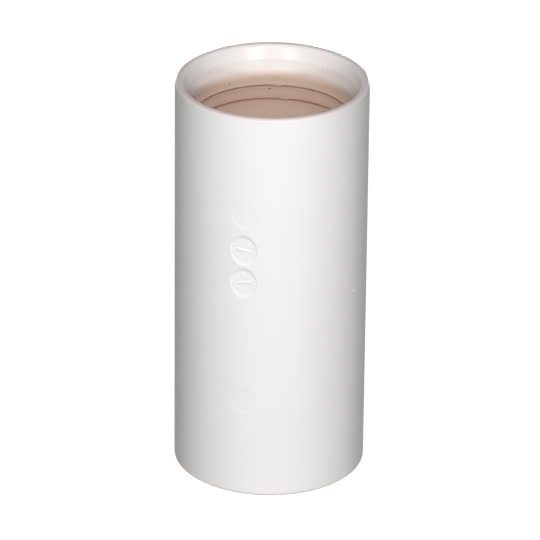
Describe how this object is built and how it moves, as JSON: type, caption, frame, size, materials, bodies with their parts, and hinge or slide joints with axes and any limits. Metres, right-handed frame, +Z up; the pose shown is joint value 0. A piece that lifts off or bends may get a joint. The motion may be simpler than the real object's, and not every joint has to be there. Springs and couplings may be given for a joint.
{
  "type": "double socket coupling",
  "caption": "Straight plastic tube with a smooth socket and flared mouth at each end and an inner stop between them, for joining plain pipes end to end.",
  "frame": {"origin": "centre of the lower end face, on the coupling's axis", "axes": "+Z up along the coupling's axis; the column of round mould marks is on the -Y side"},
  "size_m": [0.0244, 0.0244, 0.0525],
  "materials": {
    "coupling_body": "satin moulded white"
  },
  "bodies": {
    "root": {"coupling_body": "coupling_body"}
  },
  "joints": []
}
